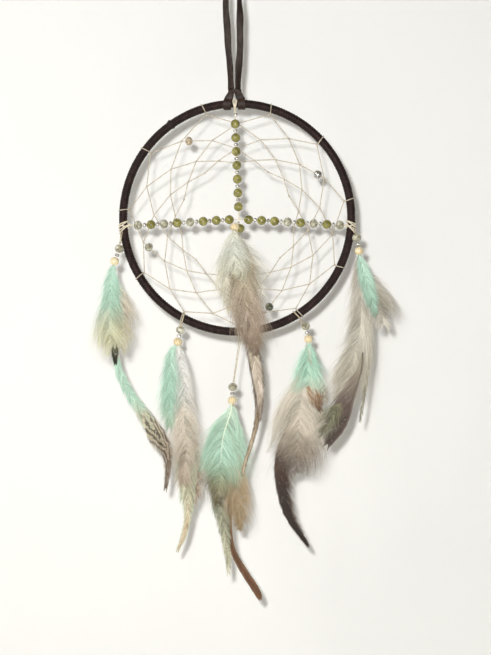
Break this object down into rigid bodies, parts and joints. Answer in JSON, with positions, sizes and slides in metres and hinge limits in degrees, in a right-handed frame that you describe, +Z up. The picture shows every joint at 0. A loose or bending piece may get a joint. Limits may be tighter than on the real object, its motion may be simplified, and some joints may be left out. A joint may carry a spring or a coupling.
{
  "type": "dream catcher",
  "caption": "Leather-wrapped hoop with a knotted thread web, crossed bead strands and hanging feather bundles on a flat lace loop.",
  "frame": {"origin": "the hook point: the inside top of the hanger loop, where a nail or hook carries it", "axes": "+Z up along the hanger, +X to the right seen from the front, +Y back towards the wall"},
  "size_m": [0.1927, 0.0204, 0.4067],
  "materials": {
    "hanger_leather": "satin",
    "hoop_leather": "satin",
    "ring_metal": "satin",
    "cream_thread": "matte",
    "olive_stone": "gloss",
    "cut_glass": "gloss",
    "silver": "polished",
    "beige_glass": "satin",
    "pale_wood": "satin",
    "mint_down": "matte",
    "cream_plume": "matte",
    "tan_feather": "matte",
    "barred_hackle": "matte",
    "dark_hackle": "satin"
  },
  "bodies": {
    "hanger": {"hanger_lace": "hanger_leather"},
    "knot": {"hanger_knot": "hanger_leather"},
    "hoop": {"hoop_ring": "ring_metal", "hoop_wrap": "hoop_leather", "web_thread": "cream_thread", "vertical_thread": "cream_thread", "vertical_green_beads": "olive_stone", "vertical_spacers": "silver", "cross_thread": "cream_thread", "cross_green_beads": "olive_stone", "cross_faceted_beads": "cut_glass", "cross_spacers": "silver"},
    "web_bead_beige": {"web_bead_beige": "beige_glass"},
    "web_bead_silver_round": {"web_bead_silver_round": "silver"},
    "web_bead_silver_faceted": {"web_bead_silver_faceted": "cut_glass"},
    "web_bead_green_faceted": {"web_bead_green_faceted": "cut_glass"},
    "left_thread": {"left_thread": "cream_thread"},
    "left_feathers": {"left_cut_bead": "cut_glass", "left_spacer": "silver", "left_wood_bead": "pale_wood", "left_down": "mint_down", "left_hackle": "barred_hackle"},
    "lower_left_thread": {"lower_left_thread": "cream_thread"},
    "lower_left_feathers": {"lower_left_cut_bead": "cut_glass", "lower_left_spacer": "silver", "lower_left_wood_bead": "pale_wood", "lower_left_down": "mint_down", "lower_left_plume": "cream_plume", "lower_left_hackle": "barred_hackle"},
    "bottom_thread": {"bottom_thread": "cream_thread"},
    "bottom_feathers": {"bottom_cut_bead": "cut_glass", "bottom_spacer": "silver", "bottom_wood_bead": "pale_wood", "bottom_down": "mint_down", "bottom_plume": "tan_feather", "bottom_hackle": "barred_hackle", "bottom_quill": "dark_hackle"},
    "lower_right_thread": {"lower_right_thread": "cream_thread"},
    "lower_right_feathers": {"lower_right_cut_bead": "cut_glass", "lower_right_spacer": "silver", "lower_right_wood_bead": "pale_wood", "lower_right_down": "mint_down", "lower_right_quill": "tan_feather", "lower_right_plume": "cream_plume", "lower_right_hackle": "dark_hackle"},
    "right_thread": {"right_thread": "cream_thread"},
    "right_feathers": {"right_cut_bead": "cut_glass", "right_spacer": "silver", "right_wood_bead": "pale_wood", "right_down": "mint_down", "right_plume": "cream_plume", "right_hackle": "dark_hackle", "right_quill": "dark_hackle"},
    "centre_thread": {"centre_thread": "cream_thread"},
    "centre_feathers": {"centre_green_bead": "olive_stone", "centre_wood_bead": "pale_wood", "centre_down": "cream_plume", "centre_plume": "tan_feather", "centre_hackle": "tan_feather", "centre_quill": "dark_hackle"}
  },
  "joints": [
    {"name": "hanger_twist", "type": "hinge", "parent": "hanger", "child": "knot", "pos_m": [0.00075, 0, -0.0713], "axis": [0, 0, 1], "range_deg": [-30, 30]},
    {"name": "hoop_tilt", "type": "hinge", "parent": "knot", "child": "hoop", "pos_m": [0.0025, 0, -0.0805], "axis": [1, 0, 0], "range_deg": [-12, 12]},
    {"name": "web_bead_beige_spin", "type": "hinge", "parent": "hoop", "child": "web_bead_beige", "pos_m": [-0.02908, 0, -0.105], "axis": [0.9997, 0, 0.0264], "continuous": true},
    {"name": "web_bead_silver_round_spin", "type": "hinge", "parent": "hoop", "child": "web_bead_silver_round", "pos_m": [0.05509, 0, -0.1269], "axis": [-0.8748, 0, 0.4844], "continuous": true},
    {"name": "web_bead_silver_faceted_spin", "type": "hinge", "parent": "hoop", "child": "web_bead_silver_faceted", "pos_m": [-0.05522, 0, -0.17435], "axis": [0.7477, 0, -0.664], "continuous": true},
    {"name": "web_bead_green_faceted_spin", "type": "hinge", "parent": "hoop", "child": "web_bead_green_faceted", "pos_m": [0.02339, 0, -0.21327], "axis": [0.6192, 0, 0.7852], "continuous": true},
    {"name": "left_swing", "type": "hinge", "parent": "hoop", "child": "left_thread", "pos_m": [-0.0725, -0.0067, -0.1645], "axis": [1, 0, 0], "range_deg": [-12, 0]},
    {"name": "left_sway", "type": "hinge", "parent": "left_thread", "child": "left_feathers", "pos_m": [-0.07357, -0.0067, -0.17248], "axis": [0, 1, 0], "range_deg": [-8, 8]},
    {"name": "lower_left_swing", "type": "hinge", "parent": "hoop", "child": "lower_left_thread", "pos_m": [-0.03282, 0, -0.2206], "axis": [1, 0, 0], "range_deg": [-1, 10]},
    {"name": "lower_left_sway", "type": "hinge", "parent": "lower_left_thread", "child": "lower_left_feathers", "pos_m": [-0.03449, 0.00213, -0.22598], "axis": [0, 1, 0], "range_deg": [-8, 8]},
    {"name": "bottom_swing", "type": "hinge", "parent": "hoop", "child": "bottom_thread", "pos_m": [0.00445, 0, -0.22947], "axis": [1, 0, 0], "range_deg": [-1, 10]},
    {"name": "bottom_sway", "type": "hinge", "parent": "bottom_thread", "child": "bottom_feathers", "pos_m": [0.00007, -0.00054, -0.26238], "axis": [0, 1, 0], "range_deg": [-8, 8]},
    {"name": "lower_right_swing", "type": "hinge", "parent": "hoop", "child": "lower_right_thread", "pos_m": [0.04131, 0, -0.21859], "axis": [1, 0, 0], "range_deg": [-1, 10]},
    {"name": "lower_right_sway", "type": "hinge", "parent": "lower_right_thread", "child": "lower_right_feathers", "pos_m": [0.04493, -0.00062, -0.22351], "axis": [0, 1, 0], "range_deg": [-8, 8]},
    {"name": "right_swing", "type": "hinge", "parent": "hoop", "child": "right_thread", "pos_m": [0.0775, -0.0067, -0.1614], "axis": [1, 0, 0], "range_deg": [-12, 0]},
    {"name": "right_sway", "type": "hinge", "parent": "right_thread", "child": "right_feathers", "pos_m": [0.07897, -0.0067, -0.16535], "axis": [0, 1, 0], "range_deg": [-8, 8]},
    {"name": "centre_swing", "type": "hinge", "parent": "hoop", "child": "centre_thread", "pos_m": [0.0033, -0.0042, -0.1579], "axis": [1, 0, 0], "range_deg": [-12, 0]},
    {"name": "centre_sway", "type": "hinge", "parent": "centre_thread", "child": "centre_feathers", "pos_m": [0.0036, -0.0042, -0.15923], "axis": [0, 1, 0], "range_deg": [-8, 8]}
  ]
}
